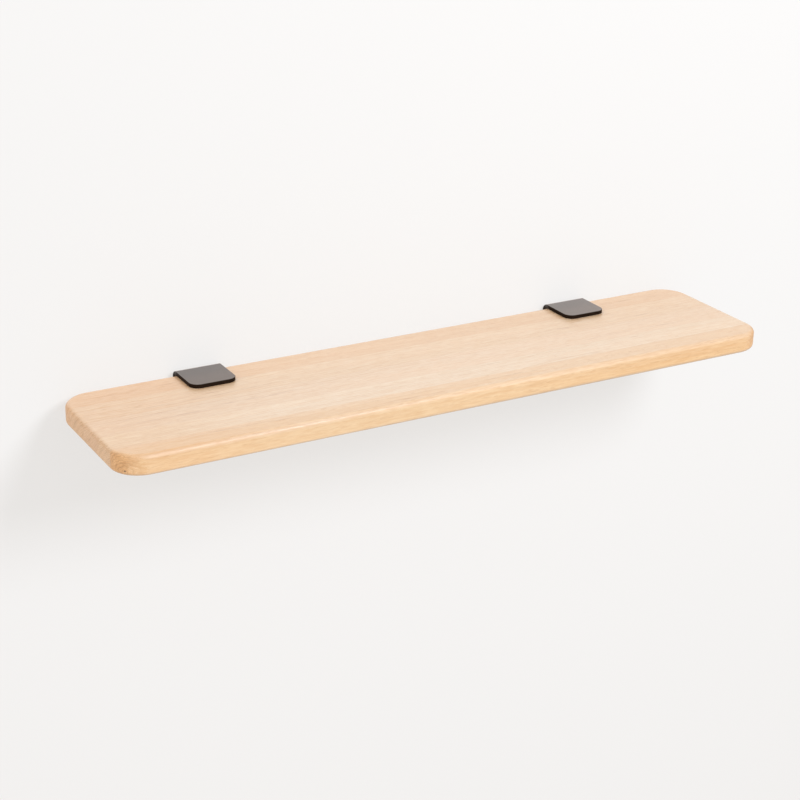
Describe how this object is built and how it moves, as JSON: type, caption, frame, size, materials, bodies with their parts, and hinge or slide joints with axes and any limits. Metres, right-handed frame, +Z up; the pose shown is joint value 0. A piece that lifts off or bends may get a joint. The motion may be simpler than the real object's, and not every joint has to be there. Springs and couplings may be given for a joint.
{
  "type": "bracket wall shelf",
  "caption": "Wall shelf: a board of edge-glued oak staves with rounded corners, clasped at its rear edge by bent black steel brackets that screw to the wall.",
  "frame": {"origin": "on the wall plane, midway between the brackets, at the height of the wall-screw holes, which is the middle of the board's thickness", "axes": "+X along the board to the right as seen from the front, +Y from the front into the wall, +Z up"},
  "size_m": [0.9, 0.213, 0.039],
  "materials": {
    "oak": "pale oak, matte oil",
    "bracket_black": "satin black powder coat",
    "screw_black": "black oxide"
  },
  "bodies": {
    "root": {"front_stave": "oak", "second_stave": "oak", "middle_stave": "oak", "fourth_stave": "oak", "rear_stave": "oak", "left_bracket": "bracket_black", "right_bracket": "bracket_black", "left_rear_screw": "screw_black", "left_front_screw": "screw_black", "right_rear_screw": "screw_black", "right_front_screw": "screw_black"}
  },
  "joints": []
}
